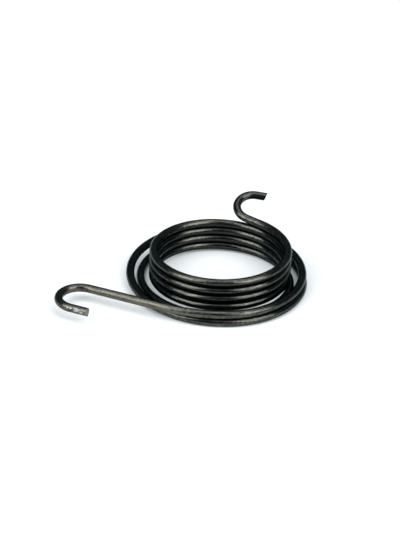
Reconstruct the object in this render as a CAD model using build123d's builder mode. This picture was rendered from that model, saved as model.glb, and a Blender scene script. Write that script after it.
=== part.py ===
"""Kickstart return spring, wound from one length of round steel wire.

A close-wound coil stands on two looser outer loops. The wire starts in a hook above the coil,
comes down the coil, spreads out on the resting plane, climbs over itself and leaves as a straight
arm with a second hook. The origin is on the coil's axis, on the resting plane, with +Z up. All
angles are in degrees, clockwise from +X as seen from above, and lengths are in millimetres.
"""
import os
from collections import namedtuple
from math import ceil, cos, pi, radians, sin, sqrt, tan

from build123d import *

# Wire and coil
wire_diameter = 2.5
coil_bore = 37.6                # inside diameter of the close-wound coil
coil_turns = 4.105              # from the upper hook down to where the wire reaches the plane
turn_gap = 0.08                 # air between one turn and the next
landing_angle = -27.5           # where the wire reaches the resting plane

# Outer loops: how far the mean radius of each stands out from the one before it
spread_step = 4.35              # coil to first loop
second_step = 2.15              # first loop to second
third_step = 1.1                # second loop to third
relaxed_step = 5.5              # third loop to the flatter last stretch before the arm
climb_from = 443.0              # where the outer loops start to rise over themselves
climb_to = 623.0
winding_end = 831.6             # where the lower arm leaves

# Lower arm and its hook, which lies level
lower_arm = 24.6                # straight length
lower_hook_radius = 6.25        # bend radius at the middle of the wire
lower_hook_turn = 180.0
lower_leg = 5.4                 # straight end of the hook

# Upper hook, which starts where the first turn lifts off the coil
lift_length = 3.3               # length of wire that bends upwards
lift_slope = 8.9
upper_arm = 1.0                 # straight length
upper_hook_radius = 5.2
upper_hook_turn = 162.0
upper_hook_lean = 18.2          # how far the hook's plane leans out of level across its start
upper_leg = 2.9

# Worked out from the values above
wire_radius = wire_diameter / 2
coil_radius = (coil_bore + wire_diameter) / 2
coil_pitch = wire_diameter + turn_gap
winding_start = landing_angle - 360 * coil_turns
ease_height = 0.12              # how gently the last coil turn comes down onto the plane
points_per_turn = 24

# Each loop takes over from the one before it between two angles
Loop = namedtuple("Loop", "begins ends radius centre_x centre_y")
first_radius = coil_radius + spread_step
second_radius = first_radius + second_step
third_radius = second_radius + third_step
loops = [
    Loop(-106.0, 202.0, first_radius, 0.65, 0.4),
    Loop(335.0, 448.0, second_radius, -0.33, 0.3),
    Loop(566.0, 735.0, third_radius, -2.8, 0.5),
    Loop(768.0, 834.0, third_radius + relaxed_step, -3.07, 7.2),
]


def eased(angle, begins, ends):
    """0 before one angle, 1 after the other, and a rise without kinks between them."""
    x = min(max((angle - begins) / (ends - begins), 0), 1)
    return x**3 * (6 * x * x - 15 * x + 10)


def wire_centre(angle):
    """Middle of the wire at a clockwise angle."""
    radius, x, y = coil_radius, 0.0, 0.0
    for loop in loops:
        share = eased(angle, loop.begins, loop.ends)
        radius += (loop.radius - radius) * share
        x += (loop.centre_x - x) * share
        y += (loop.centre_y - y) * share
    descent = coil_pitch * (landing_angle - angle) / 360
    height = wire_radius + (descent + sqrt(descent**2 + ease_height**2)) / 2
    height += coil_pitch * eased(angle, climb_from, climb_to)
    lifted = max(0, lift_length - radians(angle - winding_start) * coil_radius)
    height += tan(radians(lift_slope)) * lifted**2 / (2 * lift_length)
    turned = radians(-angle)
    return Vector(x + radius * cos(turned), y + radius * sin(turned), height)


def direction_at(angle):
    """Direction of the wire, towards growing angles."""
    step = 0.001
    return (wire_centre(angle + step) - wire_centre(angle - step)).normalized()


def turned_about(vector, about, degrees):
    """A vector turned about a direction by the right-hand rule."""
    return vector.rotate(Axis((0, 0, 0), about), degrees)


def hook_path(start, direction, normal, arm, radius, turn, leg):
    """Corner points of a straight arm, a round bend in one plane, and a straight leg."""
    bend_start = start + direction * arm
    inward = turned_about(direction, normal, 90 if turn > 0 else -90)
    centre = bend_start + inward * radius
    bend_middle = centre - turned_about(inward, normal, turn / 2) * radius
    bend_end = centre - turned_about(inward, normal, turn) * radius
    tip = bend_end + turned_about(direction, normal, turn) * leg
    return bend_start, bend_middle, bend_end, tip


up = Vector(0, 0, 1)
turns = (winding_end - winding_start) / 360
point_count = ceil(turns * points_per_turn)
winding_points = [
    wire_centre(winding_start + (winding_end - winding_start) * i / point_count)
    for i in range(point_count + 1)
]

# Upper hook: the wire is followed from the coil outwards, so its direction is reversed
upper_direction = -direction_at(winding_start)
upper_level = (up - upper_direction * up.dot(upper_direction)).normalized()
upper_normal = turned_about(upper_level, upper_direction, -upper_hook_lean)
upper_start = winding_points[0]
upper_bend, upper_middle, upper_end, upper_tip = hook_path(
    upper_start,
    upper_direction,
    upper_normal,
    upper_arm,
    upper_hook_radius,
    -upper_hook_turn,
    upper_leg,
)

# Lower arm and hook
lower_direction = direction_at(winding_end)
lower_start = winding_points[-1]
lower_bend, lower_middle, lower_end, lower_tip = hook_path(
    lower_start, lower_direction, up, lower_arm, lower_hook_radius, lower_hook_turn, lower_leg
)

with BuildPart() as kickstart_spring:
    with BuildLine() as wire_line:
        Line(upper_tip, upper_end)
        ThreePointArc(upper_end, upper_middle, upper_bend)
        Line(upper_bend, upper_start)
        Spline(
            winding_points,
            tangents=(-upper_direction, lower_direction),
            tangent_scalars=(1, 1),
        )
        Line(lower_start, lower_bend)
        ThreePointArc(lower_bend, lower_middle, lower_end)
        Line(lower_end, lower_tip)
    with BuildSketch(Plane(origin=upper_tip, z_dir=upper_end - upper_tip)):
        Circle(wire_radius)
    sweep()

wire_length = wire_line.wires()[0].length
volume_ratio = kickstart_spring.part.volume / (pi * wire_radius**2 * wire_length)
print(f"wire length {wire_length:.1f} mm, {turns:.2f} turns, volume ratio {volume_ratio:.4f}")

os.makedirs("parts", exist_ok=True)
kickstart_spring.part.label = "kickstart_spring"
export_step(kickstart_spring.part, "parts/kickstart_spring.step")
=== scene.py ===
"""Kickstart return spring: the looks of its wire, on a pale floor in soft studio light.

Lengths are worked out in millimetres, as the part's own sizes are given, and put into meshes in metres.
Angles of the winding are in degrees, clockwise from +X as seen from above.
"""

import bpy
import numpy as np
from mathutils import Matrix, Vector


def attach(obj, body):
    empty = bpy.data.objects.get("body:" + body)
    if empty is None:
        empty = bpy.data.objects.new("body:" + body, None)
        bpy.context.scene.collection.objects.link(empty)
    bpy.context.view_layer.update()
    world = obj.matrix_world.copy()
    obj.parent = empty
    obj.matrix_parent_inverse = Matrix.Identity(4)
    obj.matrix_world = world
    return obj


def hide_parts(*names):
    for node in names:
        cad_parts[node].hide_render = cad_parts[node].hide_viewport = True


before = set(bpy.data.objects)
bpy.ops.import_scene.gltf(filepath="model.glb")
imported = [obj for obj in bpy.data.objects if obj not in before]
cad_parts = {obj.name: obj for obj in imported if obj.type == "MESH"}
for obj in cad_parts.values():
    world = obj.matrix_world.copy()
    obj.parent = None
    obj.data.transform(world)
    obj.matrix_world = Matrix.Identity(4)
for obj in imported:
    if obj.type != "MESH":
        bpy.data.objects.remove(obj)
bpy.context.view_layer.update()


# ---------------------------------------------------------------------------------------------------------
# The wire's route. The spring is coiled cold from one length of round wire: the upper hook, four close turns,
# two outer loops that climb over themselves, and a straight arm with the lower hook.
# ---------------------------------------------------------------------------------------------------------
MM = 0.001
wire_diameter = 2.5
wire_radius = wire_diameter / 2
coil_bore = 37.6
coil_radius = (coil_bore + wire_diameter) / 2
coil_turns, coil_pitch = 4.105, wire_diameter + 0.08
landing_angle = -27.5                   # where the coil reaches the table
winding_start = landing_angle - 360 * coil_turns
winding_end = 831.6
climb_from, climb_to = 443.0, 623.0     # where the last outer loop climbs over the one before
ease_height = 0.12                      # how gently the coil settles onto the table
lift_length, lift_slope = 3.3, 8.9      # the wire rises towards the upper hook
first_radius = coil_radius + 4.35
second_radius = first_radius + 2.15
third_radius = second_radius + 1.1

# Both hooks: straight arm, radius and turn of the bend, and straight leg
upper_arm, upper_hook_radius, upper_hook_turn, upper_leg = 1.0, 5.2, 162.0, 2.9
upper_hook_lean = 18.2                  # degrees from upright
lower_arm, lower_hook_radius, lower_hook_turn, lower_leg = 24.6, 6.25, 180.0, 5.4

# Each loop takes over from the one before it: where it begins and ends, its radius, and its centre
loops = (
    (-106.0, 202.0, first_radius, 0.65, 0.4),
    (335.0, 448.0, second_radius, -0.33, 0.3),
    (566.0, 735.0, third_radius, -2.8, 0.5),
    (768.0, 834.0, third_radius + 5.5, -3.07, 7.2),
)


def eased(value, begins, ends):
    """0 before one value, 1 after the other, and 6x^5 - 15x^4 + 10x^3 of the share x between them."""
    x = np.clip((value - begins) / (ends - begins), 0, 1)
    return x**3 * (6 * x * x - 15 * x + 10)


def winding_points(angle):
    """Middle of the wire along the winding: a circle whose radius and centre ease from loop to loop.

    The height falls by one pitch a turn until it rounds off at the resting plane, rises by one pitch where
    the outer loops climb, and rises along a parabola over the last few millimetres before the upper hook.
    """
    radius, x, y = coil_radius, 0.0, 0.0
    for begins, ends, loop_radius, centre_x, centre_y in loops:
        share = eased(angle, begins, ends)
        radius = radius + (loop_radius - radius) * share
        x = x + (centre_x - x) * share
        y = y + (centre_y - y) * share
    descent = coil_pitch * (landing_angle - angle) / 360
    height = wire_radius + (descent + np.sqrt(descent**2 + ease_height**2)) / 2
    height += coil_pitch * eased(angle, climb_from, climb_to)
    lifted = np.maximum(0, lift_length - np.radians(angle - winding_start) * coil_radius)
    height += np.tan(np.radians(lift_slope)) * lifted**2 / (2 * lift_length)
    turned = np.radians(-angle)
    return np.stack([x + radius * np.cos(turned), y + radius * np.sin(turned), height], axis=-1)


def unit(vectors):
    """Each vector divided by its length."""
    return vectors / np.linalg.norm(vectors, axis=-1, keepdims=True)


def turned_about(vector, about, degrees):
    """A vector turned about a unit direction by the right-hand rule, by Rodrigues' formula."""
    angle = np.radians(np.asarray(degrees, float))[..., None]
    across = np.cross(about, vector)
    along = about * np.dot(about, vector)
    return vector * np.cos(angle) + across * np.sin(angle) + along * (1 - np.cos(angle))


def hook_points(start, direction, normal, arm, radius, turn, leg, step=0.05):
    """Straight arm, round bend in the plane across the normal, and straight leg, as points a step apart."""
    inward = turned_about(direction, normal, 90 * np.sign(turn))
    bend_start = start + direction * arm
    centre = bend_start + inward * radius
    bend_length = radius * np.radians(abs(turn))
    arm_along = np.arange(step, arm, step)[:, None]
    bend_turned = np.linspace(0, turn, int(bend_length / step) + 1)
    bend = centre - turned_about(inward, normal, bend_turned) * radius
    leg_direction = turned_about(direction, normal, turn)
    leg_along = np.linspace(0, leg, int(leg / step) + 1)[1:, None]
    return np.concatenate([start + direction * arm_along, bend, bend[-1] + leg_direction * leg_along])


def end_direction(angle):
    """Direction of the winding at an angle, towards growing angles."""
    step = 0.001
    return unit(winding_points(np.array(angle + step)) - winding_points(np.array(angle - step)))


up = np.array([0.0, 0.0, 1.0])
winding = winding_points(np.linspace(winding_start, winding_end, 18000))
upper_direction = -end_direction(winding_start)
upper_level = unit(up - upper_direction * np.dot(up, upper_direction))
upper_normal = turned_about(upper_level, upper_direction, -upper_hook_lean)
upper_bend = (upper_hook_radius, -upper_hook_turn)
upper_hook = hook_points(winding[0], upper_direction, upper_normal, upper_arm, *upper_bend, upper_leg)
lower_direction = end_direction(winding_end)
lower_bend = (lower_hook_radius, lower_hook_turn)
lower_hook = hook_points(winding[-1], lower_direction, up, lower_arm, *lower_bend, lower_leg)
route = np.concatenate([upper_hook[:0:-1], winding, lower_hook[1:]])
route_steps = np.linalg.norm(np.diff(route, axis=0), axis=1)
route_along = np.concatenate([[0.0], np.cumsum(route_steps)])
wire_length = route_along[-1]


# ---------------------------------------------------------------------------------------------------------
# The drawn wire. It is dark, oil-tempered spring steel, drawn through a die, so its surface is a hair out
# of round. The mandrel pressed the inside of both hooks flat, the vice nicked the lower hook's end, and a
# cropper sheared both ends: each has a rolled edge where the blade came in and a burr where it came out.
# ---------------------------------------------------------------------------------------------------------
sides = 36
hook_step, coil_step = 0.2, 0.425                   # spacing of the rings at the hooks and round the winding
tip_step, tip_length = 0.1, 3.6                     # closer rings at both tips
upper_length, lower_length = 22.0, 50.0             # wire at each end that gets the hooks' spacing
face_shares = np.array([0.93, 0.78, 0.58, 0.34])    # rings across each end face, as shares of its radius


def ring_places():
    """Distances of the rings along the wire: closest at the tips, close at the hooks, wider between."""
    tip = np.array([0.0, 0.03, 0.07, 0.12, 0.18])
    near_tip = np.arange(0.25, tip_length, tip_step)
    upper = np.arange(tip_length, upper_length, hook_step)
    lower = np.arange(lower_length, tip_length, -hook_step)
    middle_length = wire_length - lower[0] - upper[-1]
    middle = np.linspace(upper[-1], wire_length - lower[0], int(middle_length / coil_step))
    start = np.concatenate([tip, near_tip, upper])
    end = wire_length - np.concatenate([lower, near_tip[::-1], tip[::-1]])
    return np.concatenate([start, middle[1:-1], end])


def route_at(distance):
    """Middle of the wire at distances along it; past an end the route stops."""
    return np.stack([np.interp(distance, route_along, route[:, axis]) for axis in range(3)], axis=-1)


along = ring_places()
forward = unit(route_at(along + 0.1) - route_at(along - 0.1))
outward = unit(np.cross(forward, up))
upward = np.cross(outward, forward)
around = np.arange(sides) * 2 * np.pi / sides       # 0 at the outside of the coil, a quarter turn at the top
spoke = np.cos(around)[:, None] * outward[:, None] + np.sin(around)[:, None] * upward[:, None]
from_start = along[:, None]
from_end = wire_length - from_start


def wave(size, per_mm, per_turn, start):
    """One ripple over the surface: a sine of its waves along the wire and its waves around the section."""
    return size * np.sin(2 * np.pi * per_mm * from_start + per_turn * around + start)


def stretch(distance, centre, half_length, edge):
    """1 within a half length of a place along the wire, falling to 0 over the edge."""
    return 1 - eased(np.abs(distance - centre), half_length, half_length + edge)


def pressed(radii, where, facing, depth):
    """A flat pressed into the wire: where it lies, the surface is cut at a plane across one direction."""
    towards = np.cos(around - np.radians(facing))
    plane = (wire_radius - depth) / np.maximum(towards, 0.5)
    return radii + (np.minimum(radii, plane) - radii) * where


ripples = wave(0.004, 1 / 37, 2, 0.3) + wave(0.003, 1 / 11.3, 1, 2.1) + wave(0.002, 1 / 4.7, 3, 4.0)
radii = wire_radius + np.minimum(ripples, 0.006)

# The mandrel's flats, inside both bends
inside, flat_depth, flat_edge = 180, 0.05, 1.5
upper_middle_of_bend = upper_leg + upper_hook_radius * np.radians(upper_hook_turn / 2)
lower_middle_of_bend = lower_leg + lower_hook_radius * np.radians(lower_hook_turn / 2)
radii = pressed(radii, stretch(from_start, upper_middle_of_bend, 6.2, flat_edge), inside, flat_depth)
radii = pressed(radii, stretch(from_end, lower_middle_of_bend, 8.4, flat_edge), inside, flat_depth)

# Nicks of the vice near the lower end: distance from the end, half length, facing in degrees, and depth
nicks = (
    (3.2, 0.6, 19, 0.09),
    (1.5, 0.45, 2, 0.06),
    (2.3, 0.15, 12, 0.03),
    (4.9, 0.2, 30, 0.02),
    (5.9, 0.15, 24, 0.015),
)
scraped = np.zeros_like(radii)
for distance, half_length, facing, depth in nicks:
    before = radii
    radii = pressed(radii, stretch(from_end, distance, half_length, 0.12), facing, depth)
    scraped = np.maximum(scraped, np.clip((before - radii) / 0.02, 0, 1))

# Each end: how far its face leans and towards where, where the blade came in, and the burr across from it
upper_cut = {"lean": 0.32, "leans_to": 75, "blade": -100, "rolled": 0.10, "burr": 0.10}
lower_cut = {"lean": 0.06, "leans_to": 150, "blade": 112, "rolled": 0.08, "burr": 0.36}


def cut_face(cut, share):
    """How far a sheared face stands out at a share of its radius: lean, less rolled edge, plus burr.

    The rolled edge grows with the sixth power of the share and the burr with the fourteenth, each on its
    own side of the face, and two small sines make the torn surface.
    """
    blade_side = np.maximum(0, np.cos(around - np.radians(cut["blade"])))
    burr_side = np.maximum(0, np.cos(around - np.radians(cut["blade"] + 180)))
    lean = cut["lean"] * share * np.cos(around - np.radians(cut["leans_to"]))
    torn = 0.02 * share * np.sin(3 * around + 7 * share) + 0.012 * np.sin(9 * share + 2 * around)
    return lean + torn - cut["rolled"] * blade_side**2 * share**6 + cut["burr"] * burr_side**7 * share**14


def tip_shapes(distance, cut, radii):
    """Near a tip the rings lean over to meet the face, and the rolled edge draws in towards it."""
    leaning = np.clip(1 - distance / 0.9, 0, 1)
    edge = np.clip(1 - distance / 0.22, 0, 1) ** 2
    blade_side = np.maximum(0, np.cos(around - np.radians(cut["blade"])))
    return leaning * cut_face(cut, 1.0), radii * (1 - edge * (0.015 + 0.07 * blade_side**2))


upper_shift, radii = tip_shapes(from_start, upper_cut, radii)
lower_shift, radii = tip_shapes(from_end, lower_cut, radii)
wall = route_at(along)[:, None] + radii[..., None] * spoke
wall += (lower_shift - upper_shift)[..., None] * forward[:, None]


def end_face(end, cut, sign):
    """Rings across one end, from just inside its rim to its middle point."""
    share = face_shares[:, None]
    middle = route_at(along[end])
    face = middle + (radii[end] * share)[..., None] * spoke[end]
    face += sign * cut_face(cut, share)[..., None] * forward[end]
    return np.concatenate([face.reshape(-1, 3), middle[None]])


upper_face = end_face(0, upper_cut, -1)
lower_face = end_face(-1, lower_cut, 1)
points = np.concatenate([wall.reshape(-1, 3), upper_face, lower_face])


# The first vertex of each ring, in order from the middle of the upper face to the middle of the lower one
wall_rings = np.arange(len(along)) * sides
upper_rings = len(along) * sides + np.arange(len(face_shares)) * sides
upper_middle = upper_rings[-1] + sides
lower_rings = upper_middle + 1 + np.arange(len(face_shares)) * sides
lower_middle = lower_rings[-1] + sides
rings = np.concatenate([upper_rings[::-1], wall_rings, lower_rings])[:, None]

# Quads from each ring to the next, and a fan of triangles at each middle
side = np.arange(sides)
next_side = (side + 1) % sides
this_ring, next_ring = rings[:-1], rings[1:]
corners = (this_ring + side, next_ring + side, next_ring + next_side, this_ring + next_side)
quads = np.stack(corners, axis=-1).reshape(-1, 4)
upper_rim, lower_rim = upper_rings[-1], lower_rings[-1]
upper_fan = np.stack([np.full(sides, upper_middle), upper_rim + side, upper_rim + next_side], axis=-1)
lower_fan = np.stack([np.full(sides, lower_middle), lower_rim + next_side, lower_rim + side], axis=-1)

wire_mesh = bpy.data.meshes.new("kickstart_spring_wire")
faces = quads.tolist() + upper_fan.tolist() + lower_fan.tolist()
wire_mesh.from_pydata((points * MM).tolist(), [], faces)
wire_mesh.polygons.foreach_set("use_smooth", np.ones(len(wire_mesh.polygons), bool))
wire_mesh.set_sharp_from_angle(angle=np.radians(42))

# What the finish follows: the wire as if straightened, in millimetres, how worn and bare it is, and where
# painted shade darkens its underside
face_points = len(face_shares) * sides + 1
straight_axes = (from_start, radii * np.cos(around), radii * np.sin(around))
straight_wall = np.stack(np.broadcast_arrays(*straight_axes), axis=-1).reshape(-1, 3)
straight_faces = np.concatenate([upper_face - upper_face[-1], lower_face - lower_face[-1] + 50.0])
worn_along = 0.10 + 0.75 * eased(from_end, 80, 46) - 0.35 * stretch(from_end, 15, 9, 6)
worn_along = worn_along + 0.25 * stretch(from_start, 85, 35, 30)
worn = np.concatenate([np.broadcast_to(worn_along, radii.shape).ravel(), np.ones(2 * face_points)])
# Painted shade: along the close turns, the lower half of the wire's section is marked to be painted darker,
# as if in shade
in_coil = eased(from_start, 15, 45) - eased(from_start, 600, 680)
underside_shade_mask = in_coil * (1 - eased(np.sin(around), -0.25, 0.25))
underside_shade = np.concatenate([underside_shade_mask.ravel(), np.zeros(2 * face_points)])
cut_edge = np.maximum(np.clip(1 - from_start / 0.12, 0, 1), np.clip(1 - from_end / 0.12, 0, 1))
bare = np.concatenate([np.maximum(scraped, 0.6 * cut_edge).ravel(), np.full(2 * face_points, 0.4)])
for name, kind, field, values in (
    ("straight_wire", "FLOAT_VECTOR", "vector", np.concatenate([straight_wall, straight_faces])),
    ("worn", "FLOAT", "value", worn),
    ("underside_shade", "FLOAT", "value", underside_shade),
    ("bare", "FLOAT", "value", bare),
):
    attribute = wire_mesh.attributes.new(name, kind, "POINT")
    attribute.data.foreach_set(field, values.astype(np.float32).ravel())

wire = bpy.data.objects.new("kickstart_spring_wire", wire_mesh)
bpy.context.scene.collection.objects.link(wire)
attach(wire, "root")
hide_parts("kickstart_spring")


# ---------------------------------------------------------------------------------------------------------
# The wire's finish: blackened steel with a film of oil. The die left fine lines along it. Handling has worn
# the arm and the top turn to a bronze grey, and the underside of the close turns is painted darker, a painted
# shade. Where the vice and the cropper cut through the scale, bright steel shows.
# ---------------------------------------------------------------------------------------------------------
class Field:
    """A value that changes over a surface: one output socket of a shader node. Operators add Math nodes."""

    def __init__(self, tree, socket=None):
        self.tree, self.socket = tree, socket

    def node(self, kind, output=0, settings=None, values=None):
        """A new node's output: settings are set first, then sockets get numbers, colours or fields."""
        made = self.tree.nodes.new("ShaderNode" + kind)
        for name, setting in (settings or {}).items():
            setattr(made, name, setting)
        for name, value in (values or {}).items():
            if isinstance(value, Field):
                self.tree.links.new(value.socket, made.inputs[name])
            else:
                made.inputs[name].default_value = value
        return Field(self.tree, made.outputs[output])

    def maths(self, operation, *values):
        """One Math node's output, on this and other values."""
        return self.node("Math", settings={"operation": operation}, values=dict(enumerate(values)))

    def ramp(self, low, high):
        """0 below one level, 1 above the other, and smooth between them."""
        levels = {"Value": self, "From Min": low, "From Max": high}
        return self.node("MapRange", settings={"interpolation_type": "SMOOTHSTEP"}, values=levels)

    def mixed(self, first, second):
        """One colour where this is 0 and another where it is 1."""
        sockets = {0: self, 6: first, 7: second}
        return self.node("Mix", output=2, settings={"data_type": "RGBA"}, values=sockets)

    def __add__(self, other):
        return self.maths("ADD", self, other)

    def __sub__(self, other):
        return self.maths("SUBTRACT", self, other)

    def __mul__(self, other):
        return self.maths("MULTIPLY", self, other)

    __radd__, __rmul__ = __add__, __mul__


def noise(straight, along_scale, around_scale, detail=2.0, roughness=0.5, shift=0.0):
    """Cloudy noise on the straightened wire, with its own fineness along the wire and around it."""
    fineness = (along_scale, around_scale, around_scale)
    placing = {"Vector": straight, "Location": (shift, shift, shift), "Scale": fineness}
    scaled = straight.node("Mapping", values=placing)
    levels = {"Vector": scaled, "Scale": 1.0, "Detail": detail, "Roughness": roughness}
    return straight.node("TexNoise", values=levels)


def spring_steel():
    """Blackened, drawn spring steel, worn to bronze grey in places and bare where it was cut."""
    steel = bpy.data.materials.new("blackened_spring_steel")
    steel.use_nodes = True
    tree = steel.node_tree
    shader = tree.nodes["Principled BSDF"]
    start = Field(tree)
    straight = start.node("Attribute", output="Vector", settings={"attribute_name": "straight_wire"})
    worn = start.node("Attribute", output="Fac", settings={"attribute_name": "worn"})
    underside_shade = start.node("Attribute", output="Fac", settings={"attribute_name": "underside_shade"})
    bare = start.node("Attribute", output="Fac", settings={"attribute_name": "bare"})

    die_lines = noise(straight, 0.12, 5.0, detail=3.0)
    patches = noise(straight, 0.22, 0.9, shift=31.0)
    grain = noise(straight, 1.1, 1.9, detail=3.0, roughness=0.65, shift=7.0)
    # Painted shade also takes some of the bronze grey off the underside of the close turns
    rubbed = (patches * 0.35 + die_lines * 0.2 + grain * 0.7 + worn * 0.2 - underside_shade * 0.3).ramp(0.56, 0.84)
    scale_colour = rubbed.mixed((0.040, 0.043, 0.041, 1), (0.118, 0.114, 0.092, 1))
    # Painted shade: the underside of the close turns is darkened towards near black
    underside_shaded_colour = (underside_shade * 0.65).mixed(scale_colour, (0.010, 0.012, 0.012, 1))
    colour = bare.mixed(underside_shaded_colour, (0.36, 0.36, 0.355, 1))
    rough = 0.05 + worn * 0.18 + grain * 0.17 + bare * 0.1
    tree.links.new(colour.socket, shader.inputs["Base Color"])
    tree.links.new(rough.socket, shader.inputs["Roughness"])
    shader.inputs["Metallic"].default_value = 1.0
    shader.inputs["Specular Tint"].default_value = (0.5, 0.56, 0.58, 1)

    fine_grain = noise(straight, 2.6, 5.0, detail=2.0, roughness=0.6, shift=19.0)
    relief = die_lines * 0.35 + grain * (0.6 + worn * 0.4) + fine_grain * 0.4 + patches * 0.5
    bumped = start.node("Bump", values={"Strength": 0.6, "Distance": 0.0001, "Height": relief})
    tree.links.new(bumped.socket, shader.inputs["Normal"])
    return steel


wire_mesh.materials.append(spring_steel())


# ---------------------------------------------------------------------------------------------------------
# The table: a smooth sheet of opal acrylic with a faint painted glow of its own, so that shadows on it stay
# pale.
# ---------------------------------------------------------------------------------------------------------
table_mesh = bpy.data.meshes.new("table")
reach = 3.0
table_corners = [(-reach, -reach, 0), (reach, -reach, 0), (reach, reach, 0), (-reach, reach, 0)]
table_mesh.from_pydata(table_corners, [], [(0, 1, 2, 3)])
table = bpy.data.objects.new("table", table_mesh)
bpy.context.scene.collection.objects.link(table)
sheet = bpy.data.materials.new("opal_sheet_with_painted_glow")
sheet.use_nodes = True
sheet_shader = sheet.node_tree.nodes["Principled BSDF"]
sheet_shader.inputs["Base Color"].default_value = (0.82, 0.835, 0.845, 1)
# Painted glow: the sheet gives off a faint bluish light though there is no lamp under it
sheet_shader.inputs["Emission Color"].default_value = (0.87, 0.975, 1.0, 1)
sheet_shader.inputs["Emission Strength"].default_value = 0.14
sheet_shader.inputs["Roughness"].default_value = 0.9
sheet_shader.inputs["Specular IOR Level"].default_value = 0.0
table_mesh.materials.append(sheet)


# ---------------------------------------------------------------------------------------------------------
# Light: two softboxes at the sides and a large one overhead.
# ---------------------------------------------------------------------------------------------------------
def softbox(name, azimuth, elevation, distance, width, height, watts):
    """A rectangular lamp aimed at the spring, in degrees and metres: azimuth grows to the viewer's right."""
    lamp = bpy.data.lights.new(name, "AREA")
    lamp.shape = "RECTANGLE"
    lamp.size, lamp.size_y = width, height
    lamp.energy = watts
    turned, raised = np.radians(azimuth), np.radians(elevation)
    level = np.cos(raised)
    away = Vector((np.sin(turned) * level, -np.cos(turned) * level, np.sin(raised)))
    box = bpy.data.objects.new(name, lamp)
    facing = away.to_track_quat("Z", "Y").to_matrix().to_4x4()
    box.matrix_world = Matrix.Translation(away * distance) @ facing
    bpy.context.scene.collection.objects.link(box)


softbox("softbox_left", -57, 34, 1.2, 0.86, 1.05, 12.0)
softbox("softbox_right", 54, 34, 1.2, 0.86, 1.05, 12.0)
softbox("softbox_overhead", 0, 89.9, 1.3, 1.3, 1.3, 9.0)

world = bpy.data.worlds.new("studio")
bpy.context.scene.world = world
world.use_nodes = True
surroundings = world.node_tree.nodes["Background"]
surroundings.inputs["Color"].default_value = (0.66, 0.9, 1.0, 1)
surroundings.inputs["Strength"].default_value = 0.15


# ---------------------------------------------------------------------------------------------------------
# Camera: a long lens that looks down on the table, rolled a little.
# ---------------------------------------------------------------------------------------------------------
view_down, view_roll = np.radians(28.96), np.radians(2.61)
view_distance, view_lens = 563.6, 126.75
aimed_at = np.array([-5.987, 0.0, 4.92])
look = np.array([0, np.cos(view_down), -np.sin(view_down)])
level_right = unit(np.cross(look, up))
level_top = np.cross(level_right, look)
right = level_right * np.cos(view_roll) + level_top * np.sin(view_roll)
top = level_top * np.cos(view_roll) - level_right * np.sin(view_roll)
camera_data = bpy.data.cameras.new("camera")
camera_data.sensor_width = 36.0
camera_data.lens = view_lens
camera_data.clip_start, camera_data.clip_end = 0.01, 20
camera = bpy.data.objects.new("camera", camera_data)
place = (aimed_at - look * view_distance) * MM
camera.matrix_world = Matrix(np.vstack([np.stack([right, top, -look, place], axis=1), (0, 0, 0, 1)]))
bpy.context.scene.collection.objects.link(camera)
bpy.context.scene.camera = camera
bpy.context.scene.view_settings.view_transform = "Standard"
